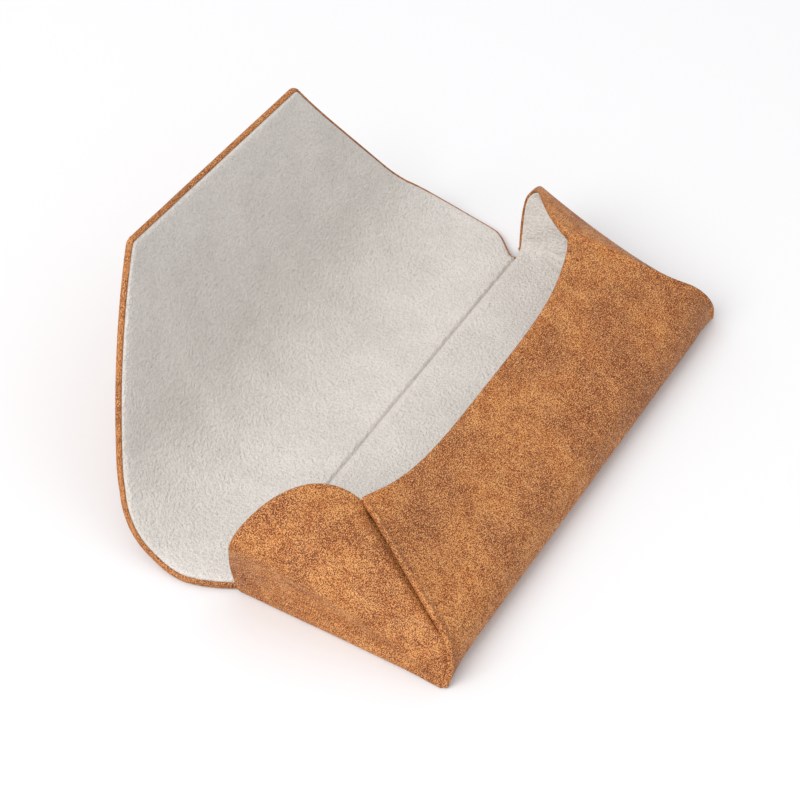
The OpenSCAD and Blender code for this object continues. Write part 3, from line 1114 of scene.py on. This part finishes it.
class CASE_OT_wing_covers(bpy.types.Operator):
    """Makes the leather of the two end wings, from the base fold to the turned free edge"""

    bl_idname = "case.wing_covers"
    bl_label = "Wing covers"

    def execute(self, context):
        for side, word in ((-1, "left"), (1, "right")):
            wing = Wing(side)
            cover = wing.sheet(
                f"cover_wing_{word}", wing.skin, WING_EDGE, WING_ACROSS, WING_FROM, False
            )
            dress(cover, leather(context))
            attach(cover, "pocket")
            declare(
                (
                    f"{word}_wing_leather",
                    f"{word}_wing_hem",
                    f"{word}_wing_board",
                    f"{word}_seam_tab",
                ),
            )
        return {"FINISHED"}


class CASE_OT_linings(bpy.types.Operator):
    """Makes the suede linings of the flap, the pocket and the wings"""

    bl_idname = "case.linings"
    bl_label = "Linings"

    def execute(self, context):
        cloth = suede(context)
        lining = pocket_strip("lining_pocket", lining_place, lining_side, lining_mouth, True)
        dress(lining, cloth)
        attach(lining, "pocket")
        declare(
            ("back_lining", "fold_lining", "front_lining"),
        )
        flap_sheets(
            "lining", lining_place, LINING_EDGE, True, cloth, ("lining",)
        )
        for side, word in ((-1, "left"), (1, "right")):
            wing = Wing(side)
            lining = wing.sheet(
                f"lining_wing_{word}",
                wing.inner,
                WING_LINING_EDGE,
                LINING_ACROSS,
                LINING_FROM,
                True,
            )
            dress(lining, cloth)
            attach(lining, "pocket")
            declare(
                (f"{word}_wing_lining",),
            )
        return {"FINISHED"}


class CASE_OT_inner_parts(bpy.types.Operator):
    """Finishes the boards, the magnets and their tapes"""

    bl_idname = "case.inner_parts"
    bl_label = "Boards and magnets"

    def execute(self, context):
        board = shared_material("greyboard_pressed", board_material)
        magnet = shared_material("nickel_plated_tumbled", magnet_material)
        tape = shared_material("nonwoven_polyester_calendered", tape_material)
        for name, obj in frame["nodes"].items():
            if name.endswith("board"):
                dress(obj, board)
            elif name.endswith("tape"):
                dress(obj, tape)
            elif "magnet" in name:
                dress(obj, magnet)
        return {"FINISHED"}


FLOOR_HALF = 3.0
FLOOR_GAP = 0.0002
SKY_STRENGTH = 0.8
CAMERA_AT = Vector((-0.438581, -0.227689, 0.508758))
CAMERA_AIM = Vector((0.004530, 0.032003, 0))
CAMERA_ROLL = math.radians(-0.2315)
SENSOR = 36
# Each light: name, place, width in metres, power in watts and colour
LIGHTS = (
    ("key", (-1.12, 0.33, 1.25), 1.3, 19, "#FFFEFC"),
    ("fill", (0.9, -0.9, 1.6), 1.8, 2, "#FFFFFF"),
)


def look_at(place, aim):
    """Turn of a lamp or a camera that stands at place and looks at aim."""
    return (aim - place).to_track_quat("-Z", "Y")


def soft_light(name, place, size, power, colour):
    data = bpy.data.lights.new(name, "AREA")
    data.shape = "DISK"
    data.size = size
    data.energy = power
    data.color = linear(colour)[:3]
    lamp = bpy.data.objects.new(name, data)
    bpy.context.scene.collection.objects.link(lamp)
    lamp.location = place
    lamp.rotation_euler = look_at(Vector(place), Vector()).to_euler()


class CASE_OT_stage(bpy.types.Operator):
    """Makes the floor, the light and the camera"""

    bl_idname = "case.stage"
    bl_label = "Stage"

    def execute(self, context):
        settings = context.scene.case_stage
        half = FLOOR_HALF
        mesh = bpy.data.meshes.new("floor")
        mesh.from_pydata(
            [(-half, -half, 0), (half, -half, 0), (half, half, 0), (-half, half, 0)],
            [],
            [(0, 1, 2, 3)],
        )
        floor = bpy.data.objects.new("floor", mesh)
        context.scene.collection.objects.link(floor)
        floor.location.z = -FLOOR_GAP
        material, tree = new_material("board_painted_matt")
        shader = add_node(
            tree,
            "ShaderNodeBsdfPrincipled",
            {
                "Base Color": linear(settings.floor_colour),
                "Roughness": 0.9,
                "Specular IOR Level": 0.1,
            },
        )
        finish_material(tree, shader)
        dress(floor, material)

        world = bpy.data.worlds.new("studio")
        context.scene.world = world
        world.use_nodes = True
        world.node_tree.nodes.clear()
        sky = add_node(
            world.node_tree,
            "ShaderNodeBackground",
            {"Color": linear("#FFFFFF"), "Strength": SKY_STRENGTH},
        )
        add_node(world.node_tree, "ShaderNodeOutputWorld", {}, {"Surface": sky.outputs[0]})
        for light in LIGHTS:
            soft_light(*light)
        context.scene.view_settings.view_transform = "Standard"

        camera_data = bpy.data.cameras.new("camera")
        camera_data.lens = settings.lens
        camera_data.sensor_width = SENSOR
        camera = bpy.data.objects.new("camera", camera_data)
        context.scene.collection.objects.link(camera)
        camera.location = CAMERA_AT
        turn = look_at(CAMERA_AT, CAMERA_AIM).to_matrix().to_4x4()
        camera.rotation_euler = (turn @ Matrix.Rotation(CAMERA_ROLL, 4, "Z")).to_euler()
        context.scene.camera = camera
        return {"FINISHED"}


class CASE_PT_panel(bpy.types.Panel):
    """Lists the steps and the settings"""

    bl_label = "Eyeglasses case"
    bl_idname = "CASE_PT_panel"
    bl_space_type = "VIEW_3D"
    bl_region_type = "UI"
    bl_category = "Case"

    def draw(self, context):
        for step in STEPS:
            self.layout.operator(step.bl_idname)
        for group in (context.scene.case_finish, context.scene.case_stage):
            box = self.layout.box()
            for name in group.__annotations__:
                box.prop(group, name)


STEPS = (
    CASE_OT_stage,
    CASE_OT_pocket_cover,
    CASE_OT_flap_covers,
    CASE_OT_wing_covers,
    CASE_OT_linings,
    CASE_OT_inner_parts,
)
CLASSES = (CaseFinish, CaseStage, *STEPS, CASE_PT_panel)


def register():
    for cls in CLASSES:
        bpy.utils.register_class(cls)
    bpy.types.Scene.case_finish = bpy.props.PointerProperty(type=CaseFinish)
    bpy.types.Scene.case_stage = bpy.props.PointerProperty(type=CaseStage)


def unregister():
    del bpy.types.Scene.case_stage
    del bpy.types.Scene.case_finish
    for cls in reversed(CLASSES):
        bpy.utils.unregister_class(cls)


def main():
    register()
    for step in STEPS:
        group, name = step.bl_idname.split(".")
        getattr(getattr(bpy.ops, group), name)()
    bpy.context.view_layer.update()


if __name__ == "__main__":
    main()
